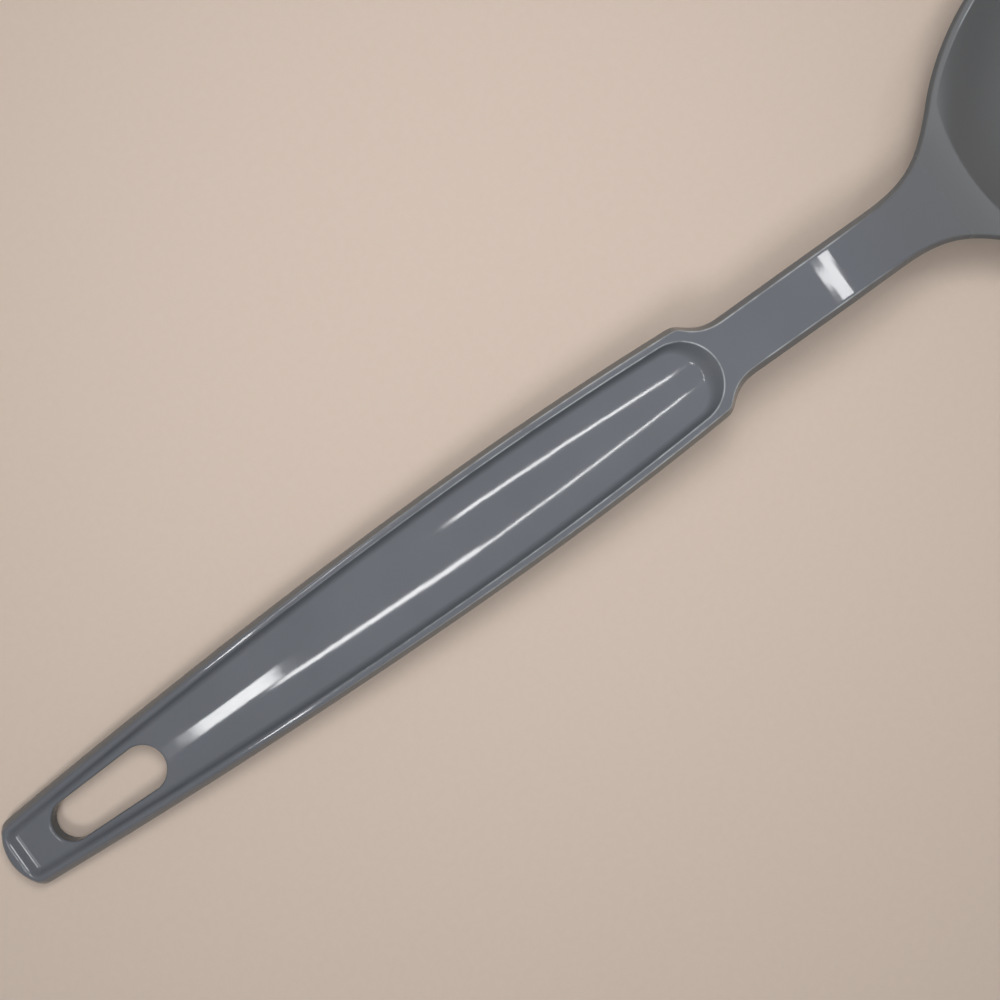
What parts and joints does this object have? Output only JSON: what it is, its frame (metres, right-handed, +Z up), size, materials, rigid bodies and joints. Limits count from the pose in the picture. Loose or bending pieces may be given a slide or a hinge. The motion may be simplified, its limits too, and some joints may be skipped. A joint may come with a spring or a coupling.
{
  "type": "slotted serving spoon",
  "caption": "Moulded plastic serving spoon with a tray handle, a tapered hang slot, a bent strap neck and a deep bowl with drain slots.",
  "frame": {"origin": "middle of the spoon's length and width, on the table that it lies on", "axes": "+X from the handle's end towards the bowl's tip, +Y to the left of that, +Z up out of the bowl"},
  "size_m": [0.305, 0.0656, 0.0258],
  "materials": {
    "moulding": "glossy moulded plastic"
  },
  "bodies": {
    "root": {"hang_loop": "moulding", "grip": "moulding", "neck": "moulding", "bowl": "moulding"}
  },
  "joints": []
}
